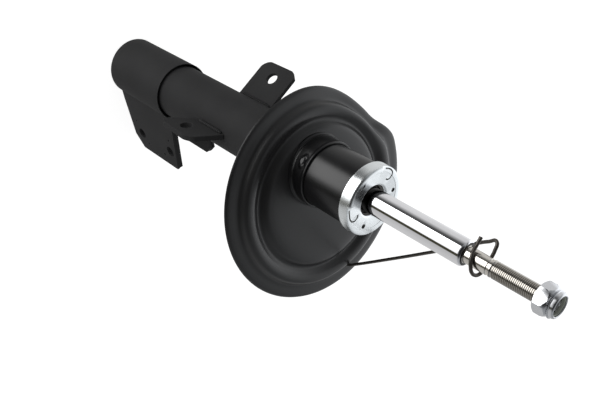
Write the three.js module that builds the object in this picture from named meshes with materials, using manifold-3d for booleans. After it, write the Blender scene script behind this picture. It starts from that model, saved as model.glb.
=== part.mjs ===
// Front suspension strut: a twin-tube gas damper with a knuckle bracket, an offset spring seat,
// two welded tabs and a piston rod with a threaded end, held short by a transit wire.
// Millimetres. Z runs up the strut axis to the rod end, X points to the knuckle ears, and the
// origin is on the axis at the lower face of the tube.

import * as THREE from "three";
import { mergeVertices } from "three/addons/utils/BufferGeometryUtils.js";
import Module from "manifold-3d";

const wasm = await Module();
wasm.setup();

// Clearances and mesh fineness
const GAP = 0.3; // between pieces that seat on each other
const ROUND = 48; // facets of a large turned piece
const ROUND_SMALL = 24; // facets of a small turned piece
const DEGREE = Math.PI / 180;

// Reserve tube
const TUBE_LENGTH = 372;
const TUBE_LOWER_RADIUS = 28.2;
const TUBE_WALL = 2.2;
const SWAGE_STEP = 1.1; // the tube's upper end is this much wider in radius
const SWAGE_HEIGHT = 6;
const SWAGE_BELOW_SEAT = 8.5; // where it starts to widen, under the spring seat's centre
const LIP_THICKNESS = 2; // the tube's top edge rolled in over the seal
const LIP_REACH = 7.5;

// Base cap
const BASE_THICKNESS = 4;
const BASE_SKIRT = 10;
const BASE_SKIRT_WALL = 2.5;

// Knuckle bracket and its stiffener
const BRACKET_HEIGHT = 93.5;
const BRACKET_PLATE = 2.7;
const EAR_OUTER_Y = 24; // half the width over the ears
const EAR_REACH = 92;
const EAR_CORNER = 14; // lower outer corner, cut off
const EAR_TOP_CORNER = 9;
const EAR_SLOPE_X = 40; // from here the near ear's upper edge falls towards its tip
const EAR_SLOPE_DROP = 8;
const EAR_FLOOR_RISE = 3; // the lower edge climbs this much towards the ear's tip
const STIFFENER_PLATE = 4;
const STIFFENER_CLEARANCE = 0.8; // between its web and the tube
const KNUCKLE_BOLT_X = 70.5;
const KNUCKLE_BOLT_LOW_Z = 20.5;
const KNUCKLE_BOLT_PITCH = 57.5;
const KNUCKLE_BOLT_RADIUS = 6.25;
const DIMPLE_RADIUS = 1.3;
const DIMPLE_DEPTH = 0.8;
const DIMPLES = [
  // [along X, along Z] from a bolt hole, lower hole first
  [
    [-15, -6],
    [9.8, 10],
  ],
  [
    [9.7, -14.5],
    [-15.4, 2],
  ],
];

// Link tab and hose tab, plates that stand on the tube along its axis
const LINK_AZIMUTH = -102;
const LINK_THICKNESS = 5.5;
const LINK_HOLE_REACH = 44.8;
const LINK_HOLE_Z = 166.5;
const LINK_HOLE_RADIUS = 6;
const LINK_ROOT_LOW_Z = 163;
const LINK_ROOT_HIGH_Z = 203;
const LINK_REACH = 59;
const LINK_TIP = [
  // [in from the tab's outer edge, height from its hole]
  [11, -26],
  [2, -23],
  [0, 13.5],
  [4, 23],
];
const HOSE_AZIMUTH = 117;
const HOSE_THICKNESS = 4;
const HOSE_REACH = 72.5;
const HOSE_LOW_Z = 164.5;
const HOSE_WIDTH = 48.5;
const HOSE_CORNER = 7;
const HOSE_HOLE_REACH = 56.5;
const HOSE_HOLE_RADIUS = 6;
const WELD_LEG = 3.2;
const WELD_INSET = 3.5; // a weld stops this far from the ends of its tab's root

// Spring seat: a pressed pan, tilted inboard and set off towards the knuckle
const SEAT_TILT = 10.1;
const SEAT_OFFSET = 30.3;
const SEAT_BELOW_TOP = 71.5; // pan's centre below the top of the tube
const SEAT_RADIUS = 101.2;
const SEAT_SHEET = 2.6;
const SEAT_LIP_DROP = 2.2;
const SEAT_FLANGE = 17.2; // rim to the crest of the ring that centres the coil
const SEAT_RING_HEIGHT = 6;
const SEAT_DOME_INSET = 18; // crest of the ring to the edge of the dome
const SEAT_DOME_HEIGHT = 9.5;
const SEAT_NECK_WALL = 2.4;
const SEAT_NECK_DEPTH = 11.5; // the neck's lower edge below the pan's centre
const SEAT_WAIST = 9.5; // how far the rim pulls in before the coil-end stop
const SEAT_LOBE = 3.6; // how far the rim stands out at the coil-end stop
const SEAT_STEP_DOWN = 5; // drop of the flange before the coil-end stop
const SEAT_FACETS = 64;
const HOOK_INSET = 12.8; // hole for the transit wire, in from the rim
const HOOK_SIDE = 12.1;
const HOOK_HOLE_RADIUS = 3;

// Collar on the tube that holds the pan down: a tilted flange with an upright sleeve
const COLLAR_SLEEVE_WALL = 1.8;
const COLLAR_LEDGE = 1.4; // the flange stands out this far past the sleeve
const COLLAR_FLANGE = 2;
const COLLAR_RISE = 18.5; // the sleeve's upper edge above the pan's centre

// Bump cap
const CAP_FIT = 0.7; // around the tube
const CAP_WALL = 1.9;
const CAP_HEIGHT = 11;
const CAP_HEADROOM = 3.6; // its face above the top of the tube
const CAP_ROLL = 1.5; // bevel round the face
const CAP_BORE_RADIUS = 14;
const CAP_HOLE_RADIUS = 2.2;
const CAP_HOLE_CIRCLE = 23.5;
const CAP_HOLE_COUNT = 3;
const CAP_HOLE_AZIMUTH = 84;

// Piston rod
const ROD_RADIUS = 11;
const ROD_EXPOSED = 100; // shoulder above the top of the tube
const ROD_INSERTED = 192; // foot below the top of the tube, where the piston stack seats
const ROD_SHOULDER_CHAMFER = 1.2;
const NECK_RADIUS = 7;
const NECK_LENGTH = 23.7;
const THREAD_RADIUS = 6.9;
const THREAD_LENGTH = 51.3;
const ROD_END_CHAMFER = 1;
const ROD_SPIGOT_RADIUS = 6;
const ROD_SPIGOT_LENGTH = 34;

// Top nut
const NUT_ACROSS_FLATS = 22;
const NUT_HEX_HEIGHT = 10.5;
const NUT_COLLAR_HEIGHT = 4.5;
const NUT_COLLAR_RADIUS = 10;
const NUT_CHAMFER = 1.2;
const NUT_OVERHANG = 5; // the nut's collar stands past the end of the thread
const NUT_BORE_RADIUS = 7.2;
const INSERT_RADIUS = 8.8;
const INSERT_HEIGHT = 2.6;
const INSERT_BELOW_TOP = 1.2; // under the crimped edge of the nut's collar

// Pressure tube and base valve
const PRESSURE_INNER_RADIUS = 16;
const PRESSURE_WALL = 1.5;
const PRESSURE_BOTTOM_Z = 20;
const PRESSURE_BELOW_GUIDE = 12; // the tube's upper end below the guide's top
const VALVE_BODY_HEIGHT = 8;
const VALVE_SPIGOT_HEIGHT = 8;

// Rod guide, bush and seal
const GUIDE_FLANGE_HEIGHT = 11;
const GUIDE_SPIGOT_HEIGHT = 10;
const BUSH_WALL = 1.3;
const BUSH_HEIGHT = 16;
const SEAL_HEIGHT = 3.4;
const WASHER_THICKNESS = 1.4;
const WASHER_CLEARANCE = 2; // around the rod
const BUSH_BELOW_GUIDE = 2; // the bush's upper end below the guide's top

// Piston stack
const PISTON_HEIGHT = 16;
const BAND_THICKNESS = 1.2;
const BAND_HEIGHT = 11;
const SHIM_STACK_HEIGHT = 1.6;
const REBOUND_SHIM_RADIUS = 11.5;
const COMPRESSION_SHIM_RADIUS = 13;
const PISTON_NUT_HEIGHT = 8;
const PISTON_NUT_ACROSS_FLATS = 19;
const STOP_ABOVE_FOOT = 55; // underside of the rebound stop ring
const STOP_RADIUS = 14.4;
const STOP_HEIGHT = 5;
const BUMPER_HEIGHT = 8;
const BUMPER_CHAMFER = 1.5;

// Transit wire
const WIRE_RADIUS = 1.5;
const WIRE_SIDES = 8;
const WIRE_STEPS = 60;
const WIRE_BOW = 1.2; // how far the long stretch bows upward

// ---- Solids ----

// A closed geometry as a manifold solid, turned right side out.
function solidOf(geometry) {
  const bare = geometry.index ? geometry.toNonIndexed() : geometry.clone();
  bare.deleteAttribute("normal");
  bare.deleteAttribute("uv");
  const merged = mergeVertices(bare, 1e-4);
  const position = merged.getAttribute("position");
  const triangles = [];
  const a = new THREE.Vector3();
  const b = new THREE.Vector3();
  const c = new THREE.Vector3();
  let volume = 0;
  for (let i = 0; i < merged.index.count; i += 3) {
    const [p, q, r] = [0, 1, 2].map((k) => merged.index.getX(i + k));
    if (p === q || q === r || r === p) continue;
    a.fromBufferAttribute(position, p);
    b.fromBufferAttribute(position, q);
    c.fromBufferAttribute(position, r);
    volume += a.dot(b.cross(c));
    triangles.push(p, q, r);
  }
  if (volume < 0) triangles.reverse();
  return new wasm.Manifold(
    new wasm.Mesh({
      numProp: 3,
      vertProperties: new Float32Array(position.array),
      triVerts: new Uint32Array(triangles),
    }),
  );
}

// A manifold solid as a geometry again.
function geometryOf(solid) {
  const mesh = solid.getMesh();
  const geometry = new THREE.BufferGeometry();
  geometry.setAttribute("position", new THREE.BufferAttribute(mesh.vertProperties, 3));
  geometry.setIndex(new THREE.BufferAttribute(mesh.triVerts, 1));
  return geometry;
}

// A turned solid about Z from [radius, height] points.
function turned(profile, facets = ROUND) {
  const points = profile.map(([radius, height]) => new THREE.Vector2(radius, height));
  return solidOf(new THREE.LatheGeometry(points, facets).rotateX(90 * DEGREE));
}

// A turned tube or ring with square edges.
function ring(innerRadius, outerRadius, bottom, top, facets = ROUND) {
  return turned(
    [
      [innerRadius, bottom],
      [outerRadius, bottom],
      [outerRadius, top],
      [innerRadius, top],
      [innerRadius, bottom],
    ],
    facets,
  );
}

// A cylinder about Z.
function rod(radius, bottom, top, facets = ROUND_SMALL) {
  return turned([[0, bottom], [radius, bottom], [radius, top], [0, top]], facets);
}

// A plate cut from [u, z] points, standing upright along X with its thickness across Y.
function uprightPlate(outline, thickness, centreY = 0) {
  const shape = new THREE.Shape(outline.map(([u, z]) => new THREE.Vector2(u, z)));
  const geometry = new THREE.ExtrudeGeometry(shape, { depth: thickness, bevelEnabled: false });
  return solidOf(geometry.rotateX(90 * DEGREE).translate(0, centreY + thickness / 2, 0));
}

// A drill along Y, for holes in upright plates.
function crossDrill(radius, x, z, fromY, toY) {
  const geometry = new THREE.CylinderGeometry(radius, radius, toY - fromY, ROUND_SMALL);
  return solidOf(geometry.translate(x, (fromY + toY) / 2, z));
}

function turnAbout(solid, azimuth) {
  return solidOf(geometryOf(solid).rotateZ(azimuth * DEGREE));
}

// A hexagonal prism about Z.
function hexPrism(acrossFlats, bottom, top) {
  const geometry = new THREE.CylinderGeometry(1, 1, top - bottom, 6);
  const corner = acrossFlats / 2 / Math.cos(30 * DEGREE);
  geometry.scale(corner, 1, corner).rotateX(90 * DEGREE);
  return solidOf(geometry.translate(0, 0, (bottom + top) / 2));
}

// ---- Materials ----

const finish = (color, roughness, metalness) =>
  new THREE.MeshStandardMaterial({ color, roughness, metalness });

const mattePaint = finish(0x323232, 0.7, 0.1);
const glossPaint = finish(0x161618, 0.3, 0.1);
const zinc = finish(0xc9ced0, 0.35, 0.9);
const chrome = finish(0xe4e6ea, 0.08, 1);
const blackWire = finish(0x2c2a26, 0.45, 0.8);
const bareSteel = finish(0x8d8f92, 0.4, 0.9);
const sintered = finish(0x5f6062, 0.6, 0.7);
const nylon = finish(0xa9b4a4, 0.6, 0);
const rubber = finish(0x141414, 0.8, 0);
const bronze = finish(0x8a6a3a, 0.5, 0.6);

const strut = new THREE.Group();

function addPiece(name, solid, material) {
  const mesh = new THREE.Mesh(geometryOf(solid), material);
  mesh.name = name;
  strut.add(mesh);
}

// ---- Reserve tube and base ----

const tubeUpperRadius = TUBE_LOWER_RADIUS + SWAGE_STEP;
const tubeLowerBore = TUBE_LOWER_RADIUS - TUBE_WALL;
const tubeUpperBore = tubeUpperRadius - TUBE_WALL;
const seatCentreZ = TUBE_LENGTH - SEAT_BELOW_TOP;
const swageBottom = seatCentreZ - SWAGE_BELOW_SEAT;
const swageTop = swageBottom + SWAGE_HEIGHT;
const lipBore = tubeUpperRadius - LIP_REACH;

const reserveTube = turned([
  [tubeLowerBore, 0],
  [TUBE_LOWER_RADIUS, 0],
  [TUBE_LOWER_RADIUS, swageBottom],
  [tubeUpperRadius, swageTop],
  [tubeUpperRadius, TUBE_LENGTH],
  [lipBore, TUBE_LENGTH],
  [lipBore, TUBE_LENGTH - LIP_THICKNESS],
  [tubeUpperBore, TUBE_LENGTH - LIP_THICKNESS],
  [tubeUpperBore, swageTop],
  [tubeLowerBore, swageBottom],
  [tubeLowerBore, 0],
]);
addPiece("reserve_tube", reserveTube, mattePaint);

const baseRadius = tubeLowerBore - GAP;
const baseCap = turned([
  [0, 0],
  [baseRadius, 0],
  [baseRadius, BASE_SKIRT],
  [baseRadius - BASE_SKIRT_WALL, BASE_SKIRT],
  [baseRadius - BASE_SKIRT_WALL, BASE_THICKNESS],
  [0, BASE_THICKNESS],
]);
addPiece("base_cap", baseCap, mattePaint);

// ---- Knuckle bracket and stiffener ----

// The side view of both ears, which the plates are cut to. The near ear loses a wedge on top.
const earSides = uprightPlate(
  [
    [-EAR_REACH, 0],
    [TUBE_LOWER_RADIUS, 0],
    [EAR_REACH - EAR_CORNER, EAR_FLOOR_RISE],
    [EAR_REACH, EAR_FLOOR_RISE + EAR_CORNER],
    [EAR_REACH, BRACKET_HEIGHT - EAR_TOP_CORNER],
    [EAR_REACH - EAR_TOP_CORNER, BRACKET_HEIGHT],
    [-EAR_REACH, BRACKET_HEIGHT],
  ],
  4 * EAR_OUTER_Y,
).subtract(
  uprightPlate(
    [
      [EAR_SLOPE_X, BRACKET_HEIGHT],
      [EAR_REACH, BRACKET_HEIGHT - EAR_SLOPE_DROP],
      [2 * EAR_REACH, BRACKET_HEIGHT - EAR_SLOPE_DROP],
      [2 * EAR_REACH, 2 * BRACKET_HEIGHT],
      [EAR_SLOPE_X, 2 * BRACKET_HEIGHT],
    ],
    2 * EAR_OUTER_Y,
    -EAR_OUTER_Y,
  ),
);

const sleeveInner = TUBE_LOWER_RADIUS + GAP;
const sleeveOuter = sleeveInner + BRACKET_PLATE;
const earInnerY = EAR_OUTER_Y - BRACKET_PLATE;
const outerMeet = Math.asin(EAR_OUTER_Y / sleeveOuter);
const innerMeet = Math.asin(earInnerY / sleeveInner);

const wrapOutline = new THREE.Shape();
wrapOutline.moveTo(EAR_REACH, earInnerY);
wrapOutline.lineTo(EAR_REACH, EAR_OUTER_Y);
wrapOutline.absarc(0, 0, sleeveOuter, outerMeet, 2 * Math.PI - outerMeet, false);
wrapOutline.lineTo(EAR_REACH, -EAR_OUTER_Y);
wrapOutline.lineTo(EAR_REACH, -earInnerY);
wrapOutline.absarc(0, 0, sleeveInner, 2 * Math.PI - innerMeet, innerMeet, true);
wrapOutline.closePath();

const wrap = solidOf(
  new THREE.ExtrudeGeometry(wrapOutline, {
    depth: BRACKET_HEIGHT,
    bevelEnabled: false,
    curveSegments: ROUND - 8,
  }),
);

const boltHeights = [KNUCKLE_BOLT_LOW_Z, KNUCKLE_BOLT_LOW_Z + KNUCKLE_BOLT_PITCH];

function drillForBolts(solid) {
  return boltHeights.reduce(
    (left, z) =>
      left.subtract(
        crossDrill(KNUCKLE_BOLT_RADIUS, KNUCKLE_BOLT_X, z, -2 * EAR_OUTER_Y, 2 * EAR_OUTER_Y),
      ),
    solid,
  );
}

// Small locating dimples beside the bolt holes, on both outer faces.
function punchDimples(solid) {
  const floor = EAR_OUTER_Y - DIMPLE_DEPTH;
  let punched = solid;
  for (const [bolt, places] of DIMPLES.entries()) {
    for (const [dx, dz] of places) {
      const [x, z] = [KNUCKLE_BOLT_X + dx, boltHeights[bolt] + dz];
      punched = punched
        .subtract(crossDrill(DIMPLE_RADIUS, x, z, floor, EAR_OUTER_Y + 1))
        .subtract(crossDrill(DIMPLE_RADIUS, x, z, -EAR_OUTER_Y - 1, -floor));
    }
  }
  return punched;
}

addPiece(
  "knuckle_bracket",
  punchDimples(drillForBolts(wrap.intersect(earSides))),
  mattePaint,
);

const stiffenerOuterY = earInnerY - GAP;
const stiffenerInnerY = stiffenerOuterY - STIFFENER_PLATE;
const stiffenerBackX = TUBE_LOWER_RADIUS + STIFFENER_CLEARANCE;
const stiffenerWebX = stiffenerBackX + STIFFENER_PLATE;

const channelOutline = new THREE.Shape();
channelOutline.moveTo(stiffenerBackX, -stiffenerOuterY);
channelOutline.lineTo(EAR_REACH, -stiffenerOuterY);
channelOutline.lineTo(EAR_REACH, -stiffenerInnerY);
channelOutline.lineTo(stiffenerWebX, -stiffenerInnerY);
channelOutline.lineTo(stiffenerWebX, stiffenerInnerY);
channelOutline.lineTo(EAR_REACH, stiffenerInnerY);
channelOutline.lineTo(EAR_REACH, stiffenerOuterY);
channelOutline.lineTo(stiffenerBackX, stiffenerOuterY);
channelOutline.closePath();

const channel = solidOf(
  new THREE.ExtrudeGeometry(channelOutline, { depth: BRACKET_HEIGHT, bevelEnabled: false }),
);
addPiece("knuckle_stiffener", drillForBolts(channel.intersect(earSides)), mattePaint);

// ---- Link tab and hose tab ----

const tabRoot = TUBE_LOWER_RADIUS - 2; // plates are cut back to the tube by a bore
const tubeClearance = rod(TUBE_LOWER_RADIUS + GAP, 0, TUBE_LENGTH, ROUND);

function weldedTab(outline, thickness, holeReach, holeZ, holeRadius, azimuth) {
  const plate = uprightPlate(outline, thickness)
    .subtract(crossDrill(holeRadius, holeReach, holeZ, -thickness, thickness))
    .subtract(tubeClearance);
  return turnAbout(plate, azimuth);
}

const linkOutline = [
  [tabRoot, LINK_ROOT_LOW_Z],
  ...LINK_TIP.map(([inset, rise]) => [LINK_REACH - inset, LINK_HOLE_Z + rise]),
  [tabRoot, LINK_ROOT_HIGH_Z],
];
addPiece(
  "link_bracket",
  weldedTab(
    linkOutline,
    LINK_THICKNESS,
    LINK_HOLE_REACH,
    LINK_HOLE_Z,
    LINK_HOLE_RADIUS,
    LINK_AZIMUTH,
  ),
  mattePaint,
);

const hoseHighZ = HOSE_LOW_Z + HOSE_WIDTH;
const hoseOutline = [
  [tabRoot, HOSE_LOW_Z],
  [HOSE_REACH - HOSE_CORNER, HOSE_LOW_Z],
  [HOSE_REACH - HOSE_CORNER / 4, HOSE_LOW_Z + HOSE_CORNER / 2],
  [HOSE_REACH, HOSE_LOW_Z + HOSE_CORNER],
  [HOSE_REACH, hoseHighZ - HOSE_CORNER],
  [HOSE_REACH - HOSE_CORNER, hoseHighZ],
  [tabRoot, hoseHighZ],
];
addPiece(
  "hose_bracket",
  weldedTab(
    hoseOutline,
    HOSE_THICKNESS,
    HOSE_HOLE_REACH,
    (HOSE_LOW_Z + hoseHighZ) / 2,
    HOSE_HOLE_RADIUS,
    HOSE_AZIMUTH,
  ),
  mattePaint,
);

// A fillet weld: a long wedge in the corner between a tab's face and the tube.
function filletWeld(thickness, side, rootLowZ, rootHighZ, azimuth) {
  const faceY = thickness / 2 + GAP;
  const lowZ = rootLowZ + WELD_INSET;
  const highZ = rootHighZ - WELD_INSET;
  const wedge = new THREE.Shape();
  wedge.moveTo(TUBE_LOWER_RADIUS - 1, faceY);
  wedge.lineTo(TUBE_LOWER_RADIUS + WELD_LEG, faceY);
  wedge.lineTo(TUBE_LOWER_RADIUS - 1, faceY + WELD_LEG);
  wedge.closePath();
  const geometry = new THREE.ExtrudeGeometry(wedge, {
    depth: highZ - lowZ,
    bevelEnabled: false,
  });
  const placed = solidOf(geometry.translate(0, 0, lowZ).scale(1, side, 1));
  return turnAbout(placed.subtract(tubeClearance), azimuth);
}

for (const side of [-1, 1]) {
  const hand = side < 0 ? "near" : "far";
  addPiece(
    `link_weld_${hand}`,
    filletWeld(LINK_THICKNESS, side, LINK_ROOT_LOW_Z, LINK_ROOT_HIGH_Z, LINK_AZIMUTH),
    mattePaint,
  );
  addPiece(
    `hose_weld_${hand}`,
    filletWeld(HOSE_THICKNESS, side, HOSE_LOW_Z, hoseHighZ, HOSE_AZIMUTH),
    mattePaint,
  );
}

// ---- Spring seat ----

const smooth = (x, low, high) => THREE.MathUtils.smoothstep(x, low, high);
const seatRing = SEAT_RADIUS - SEAT_FLANGE;
const seatDome = seatRing - SEAT_DOME_INSET;
const ringFoot = seatRing + 6; // where the ring's outer side meets the flange

// Rim of the pan at an azimuth in degrees: it winds in to a waist, then steps out to a lobe.
function rimGrowth(azimuth) {
  const waist = smooth(-azimuth, -178, -122) * smooth(azimuth, 92, 118);
  const lobe = smooth(azimuth, 25, 75) * smooth(-azimuth, -112, -92);
  return SEAT_LOBE * lobe - SEAT_WAIST * waist;
}

// The flange drops before the coil-end stop and climbs back at the stop.
function flangeDrop(azimuth) {
  return SEAT_STEP_DOWN * smooth(-azimuth, -178, -140) * smooth(azimuth, 97, 113);
}

const seatTop = [
  [0, SEAT_DOME_HEIGHT],
  [seatDome - 5, SEAT_DOME_HEIGHT],
  [seatDome, SEAT_DOME_HEIGHT - 2],
  [seatDome + 6, SEAT_RING_HEIGHT - 1],
  [seatRing - 5, SEAT_RING_HEIGHT - 0.6],
  [seatRing, SEAT_RING_HEIGHT],
  [ringFoot - 1.5, 0.8],
  [ringFoot, 0],
  [SEAT_RADIUS - 2, 0],
  [SEAT_RADIUS, -SEAT_LIP_DROP / 2],
];

function pressedPan() {
  const under = seatTop.map(([radius, height]) => [radius, height - SEAT_SHEET]).reverse();
  const points = [...seatTop, ...under].map(([r, height]) => new THREE.Vector2(r, height));
  const geometry = new THREE.LatheGeometry(points, SEAT_FACETS).rotateX(90 * DEGREE);
  const position = geometry.getAttribute("position");
  for (let i = 0; i < position.count; i++) {
    const [x, y, z] = [position.getX(i), position.getY(i), position.getZ(i)];
    const radius = Math.hypot(x, y);
    const azimuth = Math.atan2(y, x) / DEGREE;
    const outer = smooth(radius, seatDome, SEAT_RADIUS);
    const grown = 1 + (rimGrowth(azimuth) * outer) / SEAT_RADIUS;
    const drop = flangeDrop(azimuth) * smooth(radius, seatRing, ringFoot);
    position.setXYZ(i, x * grown, y * grown, z - drop);
  }
  return geometry;
}

const tiltAngle = -SEAT_TILT * DEGREE;
const hookHole = new THREE.CylinderGeometry(HOOK_HOLE_RADIUS, HOOK_HOLE_RADIUS, 40, ROUND_SMALL)
  .rotateX(90 * DEGREE)
  .translate(SEAT_RADIUS - HOOK_INSET, HOOK_SIDE, 0);

function placeOnSeat(geometry) {
  return solidOf(geometry.rotateY(tiltAngle).translate(SEAT_OFFSET, 0, seatCentreZ));
}

// A disc about the strut axis, tilted as the pan is, from one height above the pan to another.
function tiltedDisc(radius, low, high) {
  const axisZ = seatCentreZ - SEAT_OFFSET * Math.tan(SEAT_TILT * DEGREE);
  const disc = new THREE.CylinderGeometry(radius, radius, high - low, ROUND)
    .rotateX(90 * DEGREE)
    .translate(0, 0, (low + high) / 2)
    .rotateY(tiltAngle)
    .translate(0, 0, axisZ);
  return solidOf(disc);
}

const neckBore = tubeUpperRadius + GAP;
const neckOuter = neckBore + SEAT_NECK_WALL;
const abovePan = 80; // height of the cutter that trims what stands over the pan
const neckBottom = seatCentreZ - SEAT_NECK_DEPTH;
const seatNeck = ring(neckBore, neckOuter, neckBottom, seatCentreZ + abovePan / 2).subtract(
  tiltedDisc(SEAT_RADIUS, SEAT_DOME_HEIGHT - 1, SEAT_DOME_HEIGHT + abovePan),
);
const springSeat = placeOnSeat(pressedPan())
  .subtract(placeOnSeat(hookHole))
  .subtract(rod(neckBore, 0, TUBE_LENGTH, ROUND))
  .add(seatNeck);
addPiece("spring_seat", springSeat, mattePaint);

const collarSeat = SEAT_DOME_HEIGHT + GAP;
const collarSleeve = neckBore + COLLAR_SLEEVE_WALL;
const collar = tiltedDisc(collarSleeve + COLLAR_LEDGE, collarSeat, collarSeat + COLLAR_FLANGE)
  .add(
    ring(neckBore, collarSleeve, neckBottom, seatCentreZ + COLLAR_RISE).subtract(
      tiltedDisc(SEAT_RADIUS, collarSeat + 1 - abovePan, collarSeat + 1),
    ),
  )
  .subtract(rod(neckBore, 0, TUBE_LENGTH, ROUND));
addPiece("seat_collar", collar, glossPaint);

// ---- Bump cap ----

const capTop = TUBE_LENGTH + CAP_HEADROOM;
const capBottom = capTop - CAP_HEIGHT;
const capInner = tubeUpperRadius + CAP_FIT;
const capOuter = capInner + CAP_WALL;
let bumpCap = turned([
  [capInner, capBottom],
  [capOuter, capBottom],
  [capOuter, capTop - CAP_ROLL],
  [capOuter - CAP_ROLL, capTop],
  [CAP_BORE_RADIUS, capTop],
  [CAP_BORE_RADIUS, capTop - CAP_WALL],
  [capInner, capTop - CAP_WALL],
  [capInner, capBottom],
]);
for (let i = 0; i < CAP_HOLE_COUNT; i++) {
  const angle = (CAP_HOLE_AZIMUTH + (360 / CAP_HOLE_COUNT) * i) * DEGREE;
  const drill = new THREE.CylinderGeometry(CAP_HOLE_RADIUS, CAP_HOLE_RADIUS, 12, 16)
    .rotateX(90 * DEGREE)
    .translate(CAP_HOLE_CIRCLE * Math.cos(angle), CAP_HOLE_CIRCLE * Math.sin(angle), capTop);
  bumpCap = bumpCap.subtract(solidOf(drill));
}
addPiece("bump_cap", bumpCap, zinc);

// ---- Pressure tube and base valve ----

const washerTop = TUBE_LENGTH - LIP_THICKNESS - GAP;
const washerBottom = washerTop - WASHER_THICKNESS;
const sealTop = washerBottom - GAP;
const sealBottom = sealTop - SEAL_HEIGHT;
const guideTop = sealBottom - GAP;
const pressureTop = guideTop - PRESSURE_BELOW_GUIDE;
const pressureOuter = PRESSURE_INNER_RADIUS + PRESSURE_WALL;
addPiece(
  "pressure_tube",
  ring(PRESSURE_INNER_RADIUS, pressureOuter, PRESSURE_BOTTOM_Z, pressureTop),
  bareSteel,
);

const valveTop = PRESSURE_BOTTOM_Z - GAP;
const valveBody = turned(
  [
    [0, valveTop - VALVE_BODY_HEIGHT],
    [pressureOuter, valveTop - VALVE_BODY_HEIGHT],
    [pressureOuter, valveTop],
    [PRESSURE_INNER_RADIUS - GAP, valveTop],
    [PRESSURE_INNER_RADIUS - GAP, valveTop + VALVE_SPIGOT_HEIGHT],
    [0, valveTop + VALVE_SPIGOT_HEIGHT],
  ],
  ROUND_SMALL,
);
addPiece("base_valve", valveBody, sintered);

// ---- Rod guide, bush and seal ----

const guideBore = ROD_RADIUS + GAP + BUSH_WALL + GAP;
const guideSpigotZ = pressureTop + GAP;
const guide = turned([
  [guideBore, guideSpigotZ - GUIDE_SPIGOT_HEIGHT],
  [PRESSURE_INNER_RADIUS - GAP, guideSpigotZ - GUIDE_SPIGOT_HEIGHT],
  [PRESSURE_INNER_RADIUS - GAP, guideSpigotZ],
  [tubeUpperBore - GAP, guideTop - GUIDE_FLANGE_HEIGHT],
  [tubeUpperBore - GAP, guideTop],
  [guideBore, guideTop],
  [guideBore, guideSpigotZ - GUIDE_SPIGOT_HEIGHT],
]);
addPiece("rod_guide", guide, sintered);

const bushBottom = guideTop - BUSH_BELOW_GUIDE - BUSH_HEIGHT;
const bushBore = ROD_RADIUS + GAP;
addPiece(
  "guide_bush",
  ring(bushBore, bushBore + BUSH_WALL, bushBottom, bushBottom + BUSH_HEIGHT, ROUND_SMALL),
  bronze,
);

addPiece("rod_seal", ring(bushBore, tubeUpperBore - GAP, sealBottom, sealTop), rubber);
addPiece(
  "seal_washer",
  ring(ROD_RADIUS + WASHER_CLEARANCE, tubeUpperBore - GAP, washerBottom, washerTop),
  bareSteel,
);

// ---- Piston rod ----

const rodShoulder = TUBE_LENGTH + ROD_EXPOSED;
const rodFoot = TUBE_LENGTH - ROD_INSERTED;
const neckTop = rodShoulder + NECK_LENGTH;
const rodTop = neckTop + THREAD_LENGTH;
const pistonRod = turned(
  [
    [0, rodFoot - ROD_SPIGOT_LENGTH],
    [ROD_SPIGOT_RADIUS, rodFoot - ROD_SPIGOT_LENGTH],
    [ROD_SPIGOT_RADIUS, rodFoot],
    [ROD_RADIUS, rodFoot],
    [ROD_RADIUS, rodShoulder - ROD_SHOULDER_CHAMFER],
    [ROD_RADIUS - ROD_SHOULDER_CHAMFER, rodShoulder],
    [NECK_RADIUS, rodShoulder],
    [NECK_RADIUS, neckTop],
    [THREAD_RADIUS, neckTop + NECK_RADIUS - THREAD_RADIUS],
    [THREAD_RADIUS, rodTop - ROD_END_CHAMFER],
    [THREAD_RADIUS - ROD_END_CHAMFER, rodTop],
    [0, rodTop],
  ],
  32,
);
addPiece("piston_rod", pistonRod, chrome);

// ---- Piston stack, from the rod's foot down ----

const stackBore = ROD_SPIGOT_RADIUS + GAP;
const upperShimTop = rodFoot - GAP;
const upperShimBottom = upperShimTop - SHIM_STACK_HEIGHT;
addPiece(
  "compression_shims",
  ring(stackBore, COMPRESSION_SHIM_RADIUS, upperShimBottom, upperShimTop, ROUND_SMALL),
  bareSteel,
);

const pistonTop = upperShimBottom - GAP;
const pistonBottom = pistonTop - PISTON_HEIGHT;
const pistonRadius = PRESSURE_INNER_RADIUS - GAP - BAND_THICKNESS - GAP;
const pistonLand = PRESSURE_INNER_RADIUS - GAP;
const landHeight = (PISTON_HEIGHT - BAND_HEIGHT) / 2 - GAP;
const piston = turned(
  [
    [stackBore, pistonBottom],
    [pistonLand, pistonBottom],
    [pistonLand, pistonBottom + landHeight],
    [pistonRadius, pistonBottom + landHeight],
    [pistonRadius, pistonTop - landHeight],
    [pistonLand, pistonTop - landHeight],
    [pistonLand, pistonTop],
    [stackBore, pistonTop],
    [stackBore, pistonBottom],
  ],
  ROUND_SMALL,
);
addPiece("piston", piston, sintered);

const bandBottom = pistonBottom + landHeight + GAP;
addPiece(
  "piston_band",
  ring(
    pistonRadius + GAP,
    pistonRadius + GAP + BAND_THICKNESS,
    bandBottom,
    pistonTop - landHeight - GAP,
    ROUND_SMALL,
  ),
  bronze,
);

const lowerShimTop = pistonBottom - GAP;
const lowerShimBottom = lowerShimTop - SHIM_STACK_HEIGHT;
addPiece(
  "rebound_shims",
  ring(stackBore, REBOUND_SHIM_RADIUS, lowerShimBottom, lowerShimTop, ROUND_SMALL),
  bareSteel,
);

const pistonNutTop = lowerShimBottom - GAP;
addPiece(
  "piston_nut",
  hexPrism(PISTON_NUT_ACROSS_FLATS, pistonNutTop - PISTON_NUT_HEIGHT, pistonNutTop).subtract(
    rod(stackBore, 0, rodFoot),
  ),
  bareSteel,
);

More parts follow.
